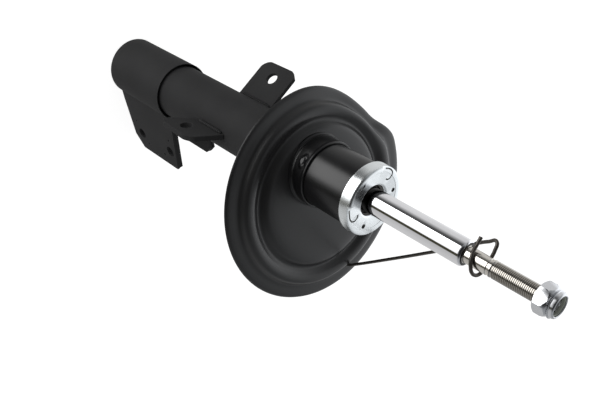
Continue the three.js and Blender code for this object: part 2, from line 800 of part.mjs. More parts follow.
const stopBore = ROD_RADIUS + GAP;
const stopBottom = rodFoot + STOP_ABOVE_FOOT;
addPiece(
  "rebound_stop",
  ring(stopBore, STOP_RADIUS, stopBottom, stopBottom + STOP_HEIGHT, ROUND_SMALL),
  bareSteel,
);
const bumperBottom = stopBottom + STOP_HEIGHT + GAP;
addPiece(
  "rebound_bumper",
  turned(
    [
      [stopBore, bumperBottom],
      [STOP_RADIUS, bumperBottom],
      [STOP_RADIUS, bumperBottom + BUMPER_HEIGHT - BUMPER_CHAMFER],
      [STOP_RADIUS - BUMPER_CHAMFER, bumperBottom + BUMPER_HEIGHT],
      [stopBore, bumperBottom + BUMPER_HEIGHT],
      [stopBore, bumperBottom],
    ],
    ROUND_SMALL,
  ),
  rubber,
);

// ---- Top nut with its nylon insert ----

const nutTop = rodTop + NUT_OVERHANG;
const nutBottom = nutTop - NUT_COLLAR_HEIGHT - NUT_HEX_HEIGHT;
const hexTop = nutBottom + NUT_HEX_HEIGHT;
const insertPocket = INSERT_RADIUS + GAP;
const insertTop = nutTop - INSERT_BELOW_TOP;
const insertBottom = insertTop - INSERT_HEIGHT;
const hexCorner = NUT_ACROSS_FLATS / 2 / Math.cos(30 * DEGREE);
const hexChamfer = turned(
  [
    [0, nutBottom],
    [NUT_ACROSS_FLATS / 2, nutBottom],
    [hexCorner + GAP, nutBottom + NUT_CHAMFER],
    [hexCorner + GAP, hexTop - NUT_CHAMFER],
    [NUT_ACROSS_FLATS / 2, hexTop],
    [0, hexTop],
  ],
  36,
);
const nutCollar = ring(NUT_BORE_RADIUS, NUT_COLLAR_RADIUS, hexTop - 1, nutTop, ROUND_SMALL);
const topNut = hexPrism(NUT_ACROSS_FLATS, nutBottom, hexTop)
  .intersect(hexChamfer)
  .add(nutCollar)
  .subtract(rod(NUT_BORE_RADIUS, nutBottom - 1, nutTop + 1))
  .subtract(rod(insertPocket, insertBottom - GAP, nutTop + 1));
addPiece("top_nut", topNut, zinc);
addPiece(
  "nut_insert",
  ring(NUT_BORE_RADIUS, INSERT_RADIUS, insertBottom, insertTop, ROUND_SMALL),
  nylon,
);

// ---- Transit wire ----

// A point round the rod's neck: clearance from it, azimuth, and height above the shoulder.
function aroundNeck(clearance, azimuth, rise) {
  const radius = NECK_RADIUS + WIRE_RADIUS + clearance;
  const angle = azimuth * DEGREE;
  return new THREE.Vector3(
    radius * Math.cos(angle),
    radius * Math.sin(angle),
    rodShoulder + rise,
  );
}

const hookAt = new THREE.Vector3(SEAT_RADIUS - HOOK_INSET, HOOK_SIDE, 0)
  .applyAxisAngle(new THREE.Vector3(0, 1, 0), tiltAngle)
  .add(new THREE.Vector3(SEAT_OFFSET, 0, seatCentreZ));
const hook = [
  [-12.3, 0.3, -12],
  [-5.8, 0.2, -9.4],
  [-0.7, 0.1, -5],
  [0, 0, 0],
  [-1.7, -0.1, 5.6],
  [-6.1, 0.3, 12],
].map(([x, y, z]) => new THREE.Vector3(x, y, z).add(hookAt));

const loop = [
  [11.1, 96, 4],
  [11.5, 110, 12],
  [5.5, 98, 13.8],
  [1.5, 75, 13.8],
  [0.8, 45, 13.6],
  [1, 12, 13.2],
  [2.4, -12, 12.8],
  [2.7, -36, 12],
  [1.9, -64, 11],
  [0.9, -94, 10],
  [0.6, -122, 8.8],
  [0.6, -146, 7.6],
  [1, -172, 6.4],
  [3, 168, 5.9],
  [9, 153, 5.6],
].map((place) => aroundNeck(...place));

const stretch = [0.28, 0.58, 0.85].map((share) => {
  const point = hook.at(-1).clone().lerp(loop[0], share);
  point.z += WIRE_BOW * Math.sin(share * Math.PI);
  return point;
});

const wireSection = new THREE.Shape();
for (let i = 0; i < WIRE_SIDES; i++) {
  const angle = (i / WIRE_SIDES) * 2 * Math.PI;
  const [x, y] = [WIRE_RADIUS * Math.cos(angle), WIRE_RADIUS * Math.sin(angle)];
  if (i === 0) wireSection.moveTo(x, y);
  else wireSection.lineTo(x, y);
}
wireSection.closePath();

const transitWire = new THREE.ExtrudeGeometry(wireSection, {
  steps: WIRE_STEPS,
  extrudePath: new THREE.CatmullRomCurve3([...hook, ...stretch, ...loop], false, "centripetal"),
});
addPiece("transit_wire", solidOf(transitWire), blackWire);

export default strut;
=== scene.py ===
from math import atan2, cos, degrees, hypot, pi, radians, sin, tan

import bmesh
import bpy
from mathutils import Matrix, Vector


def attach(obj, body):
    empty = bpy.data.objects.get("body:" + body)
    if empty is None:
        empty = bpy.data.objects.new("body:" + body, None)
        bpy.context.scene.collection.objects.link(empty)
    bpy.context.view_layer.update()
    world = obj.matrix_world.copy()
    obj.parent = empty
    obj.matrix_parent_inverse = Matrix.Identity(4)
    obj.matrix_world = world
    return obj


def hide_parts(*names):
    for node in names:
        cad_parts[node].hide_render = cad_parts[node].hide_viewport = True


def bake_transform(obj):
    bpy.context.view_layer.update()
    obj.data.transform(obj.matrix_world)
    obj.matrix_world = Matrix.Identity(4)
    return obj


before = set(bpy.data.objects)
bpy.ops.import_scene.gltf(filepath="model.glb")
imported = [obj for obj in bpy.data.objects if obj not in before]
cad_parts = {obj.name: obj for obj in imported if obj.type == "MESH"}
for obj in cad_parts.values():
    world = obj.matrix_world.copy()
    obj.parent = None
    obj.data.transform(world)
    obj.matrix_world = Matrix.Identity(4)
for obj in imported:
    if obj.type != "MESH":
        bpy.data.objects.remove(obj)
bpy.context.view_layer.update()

# ---- Camera, light and floor ----
# A long lens looks down the strut from past its rod end. The room is a white tent with one strong
# soft box, and dark gaps between the boxes that show as bands in the plated parts.

# bearing in degrees, brightness and warmth of each edge of the soft boxes round the room
BOX_EDGES = (
    (-180, 0.06, 1),
    (-170, 0.05, 1),
    (-165, 1.0, 1),
    (-107, 1.0, 1),
    (-103, 0.04, 0.6),
    (-86, 0.04, 0.6),
    (-82, 0.42, 1),
    (-40, 0.50, 1),
    (43, 0.52, 1),
    (100, 0.62, 1),
    (140, 0.56, 1),
    (162, 0.22, 1),
    (172, 0.07, 1),
)
CEILING = (0.30, 0.31, 0.32, 1)
SIDE_BOX_TOWARDS = Vector((0.30, 0.88, 0.30)).normalized()
SIDE_BOX_GLOW = (1.18, 1.2, 1.23, 1)
DARK_END_TOWARDS = Vector((-0.45, -0.55, 0.70)).normalized()
DARK_END_LEFT = 0.05
ROOM_STRENGTH = 1.25
SOFT_BOX_SIZE = 0.9
SOFT_BOX_WATTS = 7
SOFT_BOX_FROM = Vector((-0.70, -0.50, -0.45))
SOFT_BOX_AIM = Vector((0.02, 0, 0.3))
FLOOR_RADIUS = 4
FLOOR_BELOW = 0.0005

camera = bpy.data.objects.new("camera", bpy.data.cameras.new("camera"))
bpy.context.collection.objects.link(camera)
camera.data.lens = 46.8
camera.data.sensor_width = 36
camera.data.clip_start = 0.01
camera.data.clip_end = 50
camera.matrix_world = Matrix(
    (
        (0.1160, -0.7731, -0.6235, -0.4116),
        (0.7410, 0.4855, -0.4640, -0.3454),
        (0.6615, -0.4082, 0.6292, 0.7405),
        (0, 0, 0, 1),
    )
)
bpy.context.scene.camera = camera
bpy.context.scene.view_settings.view_transform = "Standard"

tent = bpy.data.worlds.new("tent")
bpy.context.scene.world = tent
tent.use_nodes = True
nodes, links = tent.node_tree.nodes, tent.node_tree.links
nodes.clear()
towards = nodes.new("ShaderNodeTexCoord")
split = nodes.new("ShaderNodeSeparateXYZ")
links.new(towards.outputs["Generated"], split.inputs[0])
bearing = nodes.new("ShaderNodeMath")
bearing.operation = "ARCTAN2"
links.new(split.outputs["Y"], bearing.inputs[0])
links.new(split.outputs["X"], bearing.inputs[1])
turn = nodes.new("ShaderNodeMapRange")
turn.inputs["From Min"].default_value = -pi
turn.inputs["From Max"].default_value = pi
links.new(bearing.outputs[0], turn.inputs["Value"])
boxes = nodes.new("ShaderNodeValToRGB")
boxes.color_ramp.interpolation = "LINEAR"
ramp = boxes.color_ramp.elements
while len(ramp) < len(BOX_EDGES):
    ramp.new(0.5)
for element, (angle, level, warmth) in zip(ramp, BOX_EDGES):
    element.position = (angle + 180) / 360
    element.color = (level, level * (0.9 + 0.1 * warmth), level * warmth, 1)
links.new(turn.outputs[0], boxes.inputs[0])
overhead = nodes.new("ShaderNodeMapRange")
overhead.interpolation_type = "SMOOTHSTEP"
overhead.inputs["From Min"].default_value = -0.1
overhead.inputs["From Max"].default_value = 0.5
links.new(split.outputs["Z"], overhead.inputs["Value"])
reflected = nodes.new("ShaderNodeMix")
reflected.data_type = "RGBA"
reflected.inputs[7].default_value = CEILING
links.new(overhead.outputs[0], reflected.inputs[0])
links.new(boxes.outputs[0], reflected.inputs[6])
# a soft box high on the far side lights the pan's slopes and the cap's face
side_box = nodes.new("ShaderNodeVectorMath")
side_box.operation = "DOT_PRODUCT"
side_box.inputs[1].default_value = SIDE_BOX_TOWARDS
links.new(towards.outputs["Generated"], side_box.inputs[0])
side_glow = nodes.new("ShaderNodeMapRange")
side_glow.interpolation_type = "SMOOTHSTEP"
side_glow.inputs["From Min"].default_value = 0.62
side_glow.inputs["From Max"].default_value = 0.98
links.new(side_box.outputs["Value"], side_glow.inputs["Value"])
with_side = nodes.new("ShaderNodeMix")
with_side.data_type = "RGBA"
with_side.inputs[7].default_value = SIDE_BOX_GLOW
links.new(side_glow.outputs[0], with_side.inputs[0])
links.new(reflected.outputs[2], with_side.inputs[6])
# the dark end of the room, over the shoulder of whoever looks down the strut
dark_end = nodes.new("ShaderNodeVectorMath")
dark_end.operation = "DOT_PRODUCT"
dark_end.inputs[1].default_value = DARK_END_TOWARDS
links.new(towards.outputs["Generated"], dark_end.inputs[0])
shade = nodes.new("ShaderNodeMapRange")
shade.interpolation_type = "SMOOTHSTEP"
shade.inputs["From Min"].default_value = 0.45
shade.inputs["From Max"].default_value = 0.85
shade.inputs["To Min"].default_value = 1
shade.inputs["To Max"].default_value = DARK_END_LEFT
links.new(dark_end.outputs["Value"], shade.inputs["Value"])
strength = nodes.new("ShaderNodeMath")
strength.operation = "MULTIPLY"
strength.inputs[1].default_value = ROOM_STRENGTH
links.new(shade.outputs[0], strength.inputs[0])
mirror_light = nodes.new("ShaderNodeBackground")
links.new(strength.outputs[0], mirror_light.inputs["Strength"])
links.new(with_side.outputs[2], mirror_light.inputs["Color"])
fill_light = nodes.new("ShaderNodeBackground")
fill_light.inputs["Strength"].default_value = 1.0
ray = nodes.new("ShaderNodeLightPath")
choose = nodes.new("ShaderNodeMixShader")
links.new(ray.outputs["Is Glossy Ray"], choose.inputs[0])
links.new(fill_light.outputs[0], choose.inputs[1])
links.new(mirror_light.outputs[0], choose.inputs[2])
world_out = nodes.new("ShaderNodeOutputWorld")
links.new(choose.outputs[0], world_out.inputs["Surface"])

soft_box = bpy.data.objects.new("soft_box", bpy.data.lights.new("soft_box", "AREA"))
bpy.context.collection.objects.link(soft_box)
soft_box.data.size = SOFT_BOX_SIZE
soft_box.data.energy = SOFT_BOX_WATTS
soft_box.location = SOFT_BOX_AIM + SOFT_BOX_FROM
soft_box.rotation_euler = SOFT_BOX_FROM.to_track_quat("Z", "Y").to_euler()

floor_mesh = bmesh.new()
bmesh.ops.create_circle(floor_mesh, cap_ends=True, segments=96, radius=FLOOR_RADIUS)
bmesh.ops.translate(floor_mesh, vec=(0, 0, -FLOOR_BELOW), verts=floor_mesh.verts)
floor_data = bpy.data.meshes.new("floor")
floor_mesh.to_mesh(floor_data)
floor_mesh.free()
floor = bpy.data.objects.new("floor", floor_data)
bpy.context.collection.objects.link(floor)
pale = bpy.data.materials.new("pale_floor")
pale.use_nodes = True
pale_shader = pale.node_tree.nodes["Principled BSDF"]
pale_shader.inputs["Base Color"].default_value = (0.3, 0.3, 0.3, 1)
pale_shader.inputs["Roughness"].default_value = 1
pale_shader.inputs["Emission Color"].default_value = (1, 1, 1, 1)
pale_shader.inputs["Emission Strength"].default_value = 0.85
floor_data.materials.append(pale)
floor.visible_glossy = False
floor.visible_diffuse = False
floor.visible_shadow = False

# ---- Reserve tube ----
# The strut's outer body: drawn steel tube, widened over its top end and rolled in over the seal.
# It is coated matte black, with a gloss coat above the spring seat.

MM = 0.001


def turned(profile, facets=128):
    """A mesh spun about Z from [radius, height] points in millimetres."""
    bm = bmesh.new()
    verts = [bm.verts.new((r * MM, 0, z * MM)) for r, z in profile]
    edges = [bm.edges.new(pair) for pair in zip(verts, verts[1:])]
    bmesh.ops.spin(
        bm, geom=verts + edges, axis=(0, 0, 1), cent=(0, 0, 0), angle=2 * pi, steps=facets, use_merge=True
    )
    bmesh.ops.remove_doubles(bm, verts=bm.verts, dist=1e-6)
    bmesh.ops.dissolve_degenerate(bm, edges=bm.edges, dist=1e-7)
    bmesh.ops.recalc_face_normals(bm, faces=bm.faces)
    return bm


def mesh_object(name, bm):
    """Puts a finished bmesh in the scene as an object at the origin."""
    data = bpy.data.meshes.new(name)
    bm.to_mesh(data)
    bm.free()
    piece = bpy.data.objects.new(name, data)
    bpy.context.collection.objects.link(piece)
    return piece


def finished(piece, crease=32):
    """Applies the piece's modifiers and shades it smooth between its sharp edges."""
    depsgraph = bpy.context.evaluated_depsgraph_get()
    made = bpy.data.meshes.new_from_object(piece.evaluated_get(depsgraph))
    piece.modifiers.clear()
    piece.data = made
    for polygon in made.polygons:
        polygon.use_smooth = True
    made.set_sharp_from_angle(angle=radians(crease))
    return piece


def cut(piece, cutter, keep="DIFFERENCE"):
    """Cuts a piece with a closed mesh, or keeps only what is inside it."""
    tool = mesh_object("tool", cutter)
    boolean = piece.modifiers.new("cut", "BOOLEAN")
    boolean.operation = keep
    boolean.solver = "EXACT"
    boolean.object = tool
    finished(piece)
    bpy.data.objects.remove(tool)


def eased(piece, width, segments=2, angle=30):
    """Breaks the sharp edges of a piece."""
    bevel = piece.modifiers.new("eased", "BEVEL")
    bevel.width = width * MM
    bevel.segments = segments
    bevel.limit_method = "ANGLE"
    bevel.angle_limit = radians(angle)
    bevel.use_clamp_overlap = True
    finished(piece)
    flat = piece.modifiers.new("flat", "WEIGHTED_NORMAL")
    flat.keep_sharp = True
    finished(piece)


def placed(piece, body, slot, materials, *nodes):
    """Gives a piece its materials, the body it rides on and the plain pieces it replaces."""
    for material in materials:
        piece.data.materials.append(material)
    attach(piece, body)
    if nodes:
        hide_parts(*nodes)


def coating(name, dark, light, roughness, gloss, bump, grain=900):
    """A sprayed or dipped coat: its colour, shine and surface vary a little from place to place."""
    material = bpy.data.materials.new(name)
    material.use_nodes = True
    tree = material.node_tree
    shader = tree.nodes["Principled BSDF"]
    shader.inputs["Specular IOR Level"].default_value = gloss
    where = tree.nodes.new("ShaderNodeTexCoord")
    cloud = tree.nodes.new("ShaderNodeTexNoise")
    cloud.inputs["Scale"].default_value = 28
    cloud.inputs["Detail"].default_value = 6
    tree.links.new(where.outputs["Object"], cloud.inputs["Vector"])
    tone = tree.nodes.new("ShaderNodeValToRGB")
    tone.color_ramp.elements[0].position = 0.3
    tone.color_ramp.elements[0].color = (*dark, 1)
    tone.color_ramp.elements[1].position = 0.7
    tone.color_ramp.elements[1].color = (*light, 1)
    tree.links.new(cloud.outputs["Fac"], tone.inputs[0])
    tree.links.new(tone.outputs[0], shader.inputs["Base Color"])
    shine = tree.nodes.new("ShaderNodeMapRange")
    shine.inputs["To Min"].default_value = roughness[0]
    shine.inputs["To Max"].default_value = roughness[1]
    tree.links.new(cloud.outputs["Fac"], shine.inputs["Value"])
    tree.links.new(shine.outputs[0], shader.inputs["Roughness"])
    skin = tree.nodes.new("ShaderNodeTexNoise")
    skin.inputs["Scale"].default_value = grain
    skin.inputs["Detail"].default_value = 3
    tree.links.new(where.outputs["Object"], skin.inputs["Vector"])
    relief = tree.nodes.new("ShaderNodeBump")
    relief.inputs["Strength"].default_value = bump
    relief.inputs["Distance"].default_value = 0.0002
    tree.links.new(skin.outputs["Fac"], relief.inputs["Height"])
    tree.links.new(relief.outputs[0], shader.inputs["Normal"])
    return material


matte_black = coating(
    "matte_black_coat", (0.012, 0.012, 0.0125), (0.017, 0.017, 0.0175), (0.68, 0.78), 0.15, 0.3
)
gloss_black = coating(
    "gloss_black_coat", (0.003, 0.003, 0.0032), (0.005, 0.005, 0.0055), (0.26, 0.34), 0.42, 0.08, 400
)

TUBE_RADIUS = 28.2
TUBE_TOP_RADIUS = 29.3
TUBE_WALL = 2.2
SWAGE_Z = 292
TUBE_TOP_Z = 372
COAT_LINE_Z = 300

tube = mesh_object(
    "reserve_tube_skin",
    turned(
        [
            (TUBE_RADIUS - TUBE_WALL, 0.6),
            (TUBE_RADIUS - TUBE_WALL + 0.6, 0),
            (TUBE_RADIUS - 0.6, 0),
            (TUBE_RADIUS, 0.6),
            (TUBE_RADIUS, 140),
            (TUBE_RADIUS, SWAGE_Z),
            (TUBE_RADIUS + 0.3, SWAGE_Z + 2),
            (TUBE_TOP_RADIUS - 0.3, SWAGE_Z + 4),
            (TUBE_TOP_RADIUS, SWAGE_Z + 6),
            (TUBE_TOP_RADIUS, COAT_LINE_Z),
            (TUBE_TOP_RADIUS, TUBE_TOP_Z - 2.2),
            (TUBE_TOP_RADIUS - 0.6, TUBE_TOP_Z - 0.6),
            (TUBE_TOP_RADIUS - 2.2, TUBE_TOP_Z),
            (TUBE_TOP_RADIUS - 6.9, TUBE_TOP_Z),
            (TUBE_TOP_RADIUS - 7.5, TUBE_TOP_Z - 0.6),
            (TUBE_TOP_RADIUS - 7.5, TUBE_TOP_Z - 2),
            (TUBE_TOP_RADIUS - TUBE_WALL, TUBE_TOP_Z - 2),
            (TUBE_TOP_RADIUS - TUBE_WALL, SWAGE_Z + 6),
            (TUBE_RADIUS - TUBE_WALL, SWAGE_Z),
            (TUBE_RADIUS - TUBE_WALL, 0.6),
        ]
    ),
)
finished(tube)
placed(tube, "housing", "matte_black_paint", [matte_black, gloss_black], "reserve_tube")
for polygon in tube.data.polygons:
    polygon.material_index = int(polygon.center.z > COAT_LINE_Z * MM)

# ---- Base cap ----
# A pressed steel dish set in the tube's lower end and sealed by a rolled seam.

base_cap = mesh_object(
    "base_cap_skin",
    turned(
        [
            (0, 1.4),
            (9, 1.4),
            (12, 1.8),
            (18, 1.8),
            (21, 0.6),
            (24.4, 0.2),
            (25.6, 0.9),
            (25.7, 10),
            (23.2, 10),
            (23.2, 5),
            (21, 4.6),
            (0, 4.6),
        ],
        96,
    ),
)
finished(base_cap)
placed(base_cap, "housing", "matte_black_paint", [matte_black], "base_cap")

# ---- Knuckle bracket ----
# One steel sheet wrapped round the tube and bent out into two ears, welded to the tube at its
# lower edge. Two bolts through the ears clamp the steering knuckle.

BRACKET_HEIGHT = 93.5
BRACKET_PLATE = 2.7
SLEEVE_RADIUS = 31.2
EAR_Y = 24
EAR_REACH = 92
BOLT_X = 70.5
BOLT_HEIGHTS = (20.5, 78)
BOLT_RADIUS = 6.25
DIMPLES = ((55.5, 14.5), (80.3, 30.5), (80.2, 63.5), (55.1, 80))


def cylinder(radius, start, end, segments=48):
    """A closed cylinder in millimetres from one point to another."""
    bm = bmesh.new()
    start, end = Vector(start) * MM, Vector(end) * MM
    along = end - start
    bmesh.ops.create_cone(
        bm, cap_ends=True, segments=segments, radius1=radius * MM, radius2=radius * MM, depth=along.length
    )
    turn_to = along.to_track_quat("Z", "Y").to_matrix()
    bmesh.ops.rotate(bm, cent=(0, 0, 0), matrix=turn_to, verts=bm.verts)
    bmesh.ops.translate(bm, vec=(start + end) / 2, verts=bm.verts)
    return bm


def ear_side(points, width=120):
    """The side view of the ears as a block across Y, to trim the sheet with."""
    bm = bmesh.new()
    face = bm.faces.new([bm.verts.new((x * MM, -width * MM / 2, z * MM)) for x, z in points])
    pushed = bmesh.ops.extrude_face_region(bm, geom=[face])
    verts = [v for v in pushed["geom"] if isinstance(v, bmesh.types.BMVert)]
    bmesh.ops.translate(bm, vec=(0, width * MM, 0), verts=verts)
    bmesh.ops.recalc_face_normals(bm, faces=bm.faces)
    return bm


def wrapped_sheet():
    """The bracket's middle surface: a sleeve open to +X that runs straight out into two ears."""
    bm = bmesh.new()
    middle = SLEEVE_RADIUS - BRACKET_PLATE / 2
    ear_y = EAR_Y - BRACKET_PLATE / 2
    root_x = (middle**2 - ear_y**2) ** 0.5
    low = bm.verts.new((root_x * MM, ear_y * MM, -1 * MM))
    high = bm.verts.new((root_x * MM, ear_y * MM, (BRACKET_HEIGHT + 4) * MM))
    edge = bm.edges.new((low, high))
    meet = atan2(ear_y, root_x)
    spun = bmesh.ops.spin(
        bm, geom=[low, high, edge], axis=(0, 0, 1), cent=(0, 0, 0), angle=2 * (pi - meet), steps=64
    )
    last = next(e for e in spun["geom_last"] if isinstance(e, bmesh.types.BMEdge))
    for root in (edge, last):
        out = bmesh.ops.extrude_edge_only(bm, edges=[root])
        tips = [v for v in out["geom"] if isinstance(v, bmesh.types.BMVert)]
        bmesh.ops.translate(bm, vec=((EAR_REACH + 2 - root_x) * MM, 0, 0), verts=tips)
    bmesh.ops.bevel(
        bm, geom=[edge, last], offset=1.6 * MM, segments=4, profile=0.5, affect="EDGES", material=-1
    )
    bmesh.ops.recalc_face_normals(bm, faces=bm.faces)
    return bm


bracket = mesh_object("knuckle_bracket_skin", wrapped_sheet())
wall = bracket.modifiers.new("wall", "SOLIDIFY")
wall.thickness = BRACKET_PLATE * MM
wall.offset = 0
wall.use_even_offset = True
finished(bracket)
EAR_FLOOR = [(-60, 0), (30, 0), (77.5, 3.2), (EAR_REACH, 16)]
cut(
    bracket,
    ear_side(EAR_FLOOR + [(EAR_REACH, 85), (83.5, BRACKET_HEIGHT), (-60, BRACKET_HEIGHT)]),
    "INTERSECT",
)
near_slope = ear_side([(40, BRACKET_HEIGHT), (EAR_REACH + 4, 84.9), (EAR_REACH + 4, 110), (40, 110)], 60)
bmesh.ops.translate(near_slope, vec=(0, -30 * MM, 0), verts=near_slope.verts)
cut(bracket, near_slope)
rim_gap = turned([(0, 85), (28.5, 85), (30.6, BRACKET_HEIGHT + 0.1), (0, BRACKET_HEIGHT + 0.1)])
cut(bracket, rim_gap)
for z in BOLT_HEIGHTS:
    cut(bracket, cylinder(BOLT_RADIUS, (BOLT_X, -40, z), (BOLT_X, 40, z)))
for x, z in DIMPLES:
    for side in (-1, 1):
        cut(bracket, cylinder(1.2, (x, side * (EAR_Y - 0.9), z), (x, side * 30, z), 20))
eased(bracket, 0.45)
placed(bracket, "housing", "matte_black_paint", [matte_black], "knuckle_bracket")

# ---- Knuckle stiffener ----
# A channel of thicker plate welded between the ears, so that the bolts can't crush them.

STIFFENER_Y = 21
STIFFENER_PLATE = 4
STIFFENER_BACK_X = 29


def channel_sheet():
    """The stiffener's middle surface, a U in plan with rounded corners."""
    bm = bmesh.new()
    side_y = STIFFENER_Y - STIFFENER_PLATE / 2
    back_x = STIFFENER_BACK_X + STIFFENER_PLATE / 2
    plan = [(EAR_REACH + 2, -side_y), (back_x, -side_y), (back_x, side_y), (EAR_REACH + 2, side_y)]
    verts = [bm.verts.new((x * MM, y * MM, -1 * MM)) for x, y in plan]
    edges = [bm.edges.new(pair) for pair in zip(verts, verts[1:])]
    up = bmesh.ops.extrude_edge_only(bm, edges=edges)
    tops = [v for v in up["geom"] if isinstance(v, bmesh.types.BMVert)]
    bmesh.ops.translate(bm, vec=(0, 0, (BRACKET_HEIGHT + 4) * MM), verts=tops)
    corners = [
        e
        for e in bm.edges
        if abs(e.verts[0].co.z - e.verts[1].co.z) > 0.01 and e.verts[0].co.x < (back_x + 1) * MM
    ]
    bmesh.ops.bevel(bm, geom=corners, offset=4 * MM, segments=6, profile=0.5, affect="EDGES", material=-1)
    bmesh.ops.recalc_face_normals(bm, faces=bm.faces)
    return bm


stiffener = mesh_object("knuckle_stiffener_skin", channel_sheet())
wall = stiffener.modifiers.new("wall", "SOLIDIFY")
wall.thickness = STIFFENER_PLATE * MM
wall.offset = 0
wall.use_even_offset = True
finished(stiffener)
cut(
    stiffener,
    ear_side(
        [
            (20, 0.6),
            (30, 0.6),
            (77.5, 3.8),
            (EAR_REACH - 0.4, 16.4),
            (EAR_REACH - 0.4, 84.6),
            (83.1, BRACKET_HEIGHT - 0.5),
            (20, BRACKET_HEIGHT - 0.5),
        ]
    ),
    "INTERSECT",
)
near_slope = ear_side([(38, BRACKET_HEIGHT), (EAR_REACH + 4, 84.3), (EAR_REACH + 4, 110), (38, 110)], 60)
bmesh.ops.translate(near_slope, vec=(0, -30 * MM, 0), verts=near_slope.verts)
cut(stiffener, near_slope)
for z in BOLT_HEIGHTS:
    cut(stiffener, cylinder(BOLT_RADIUS, (BOLT_X, -40, z), (BOLT_X, 40, z)))
eased(stiffener, 0.4)
placed(stiffener, "housing", "matte_black_paint", [matte_black], "knuckle_stiffener")

# ---- Link tab and hose tab ----
# Two steel plates welded edge-on to the tube. The stabiliser link's stud bolts through the thick
# one, and the brake hose clips into the thin one.

LINK_AZIMUTH = -102
LINK_THICKNESS = 5.5
HOSE_AZIMUTH = 117
HOSE_THICKNESS = 4


def tab_plate(name, outline, thickness, azimuth, hole, rounded):
    """A plate from [reach, height] points, rounded at the given corners, with one round hole."""
    bm = bmesh.new()
    verts = [bm.verts.new((u * MM, -thickness * MM / 2, z * MM)) for u, z in outline]
    face = bm.faces.new(verts)
    for corner, radius in rounded:
        bmesh.ops.bevel(
            bm,
            geom=[verts[corner]],
            offset=radius * MM,
            segments=8,
            profile=0.5,
            affect="VERTICES",
            material=-1,
        )
    pushed = bmesh.ops.extrude_face_region(bm, geom=list(bm.faces))
    tops = [v for v in pushed["geom"] if isinstance(v, bmesh.types.BMVert)]
    bmesh.ops.translate(bm, vec=(0, thickness * MM, 0), verts=tops)
    bmesh.ops.recalc_face_normals(bm, faces=bm.faces)
    plate = mesh_object(name, bm)
    cut(plate, cylinder(hole[2], (hole[0], -20, hole[1]), (hole[0], 20, hole[1])))
    cut(plate, cylinder(TUBE_RADIUS + 0.3, (0, 0, 100), (0, 0, 260), 128))
    eased(plate, 0.5, 3)
    plate.data.transform(Matrix.Rotation(radians(azimuth), 4, "Z"))
    return plate


link_tab = tab_plate(
    "link_tab_skin",
    [(26, 163), (48, 140.5), (57, 143.5), (59, 181), (55, 191), (26, 206)],
    LINK_THICKNESS,
    LINK_AZIMUTH,
    (44.8, 166.5, 6),
    [(1, 2.5), (2, 3), (3, 2.5), (4, 3)],
)
placed(link_tab, "housing", "matte_black_paint", [matte_black], "link_bracket")
hose_tab = tab_plate(
    "hose_tab_skin",
    [(26, 164.5), (65.5, 164.7), (72.3, 171), (72.5, 205), (66, 212.8), (26, 213)],
    HOSE_THICKNESS,
    HOSE_AZIMUTH,
    (56.5, 188.5, 6),
    [(1, 3), (2, 4), (3, 1.2), (4, 1.2)],
)
placed(hose_tab, "housing", "matte_black_paint", [matte_black], "hose_bracket")

# ---- Tab welds ----
# A rippled arc-weld bead down each side of each tab, coated with the tube.

WELD_RIPPLE = 2.4


def weld_bead(name, thickness, side, low, high, azimuth, node):
    """A rippled bead up one side of a tab's root, drawn as a ring pushed up and swelled by turns."""
    bm = bmesh.new()
    ring = bmesh.ops.create_circle(bm, cap_ends=True, segments=16, radius=1 * MM)["verts"]
    steps = int((high - low) / WELD_RIPPLE * 6)
    lift = (high - low) / steps
    scale = 0.35
    bmesh.ops.scale(bm, vec=(scale, scale, scale), verts=ring)
    face = list(bm.faces)[0]
    for step in range(1, steps + 1):
        pushed = bmesh.ops.extrude_discrete_faces(bm, faces=[face])
        face = pushed["faces"][0]
        share = step / steps
        ends = min(1, share * 8, (1 - share) * 8 + 0.12)
        size = (1.9 + 0.25 * sin(step / 6 * 2 * pi)) * (0.35 + 0.65 * ends)
        bmesh.ops.translate(bm, vec=(0, 0, lift * MM), verts=face.verts)
        middle = face.calc_center_median()
        bmesh.ops.scale(
            bm, vec=(size / scale, size / scale, 1), verts=face.verts, space=Matrix.Translation(-middle)
        )
        scale = size
    bmesh.ops.recalc_face_normals(bm, faces=bm.faces)
    reach = TUBE_RADIUS + 0.9
    bmesh.ops.translate(bm, vec=(reach * MM, side * (thickness / 2 + 0.7) * MM, low * MM), verts=bm.verts)
    bmesh.ops.rotate(bm, cent=(0, 0, 0), matrix=Matrix.Rotation(radians(azimuth), 3, "Z"), verts=bm.verts)
    bead = mesh_object(name, bm)
    finished(bead, 60)
    placed(bead, "housing", "matte_black_paint", [matte_black], node)


weld_bead("link_weld_near_skin", LINK_THICKNESS, -1, 165, 201, LINK_AZIMUTH, "link_weld_near")
weld_bead("link_weld_far_skin", LINK_THICKNESS, 1, 165, 201, LINK_AZIMUTH, "link_weld_far")
weld_bead("hose_weld_near_skin", HOSE_THICKNESS, -1, 167, 211, HOSE_AZIMUTH, "hose_weld_near")
weld_bead("hose_weld_far_skin", HOSE_THICKNESS, 1, 167, 211, HOSE_AZIMUTH, "hose_weld_far")

# ---- Spring seat ----
# A deep-pressed steel pan, set off from the tube and tilted. The coil sits on its flange round a
# raised ring and butts against a step at one side. A small hole takes the transit wire's hook.

SEAT_TILT = 10.1
SEAT_OFFSET = 30.3
SEAT_CENTRE_Z = 300.5
SEAT_RADIUS = 101.2
RING_RADIUS = 84
DOME_RADIUS = 66
SEAT_SHEET = 2.6
LOBE_OUT = 3.6
WAIST_IN = 9.5
FLANGE_STEP = 2.5
HOOK_HOLE = (88.4, 12.1)
HOOK_HOLE_RADIUS = 3
NECK_BORE = 29.6
NECK_RADIUS_OUT = 32
NECK_LOW_Z = 289
NECK_TOP_Z = 303


satin_black = coating(
    "satin_black_coat", (0.008, 0.008, 0.0083), (0.011, 0.011, 0.0114), (0.30, 0.38), 0.5, 0.1, 600
)


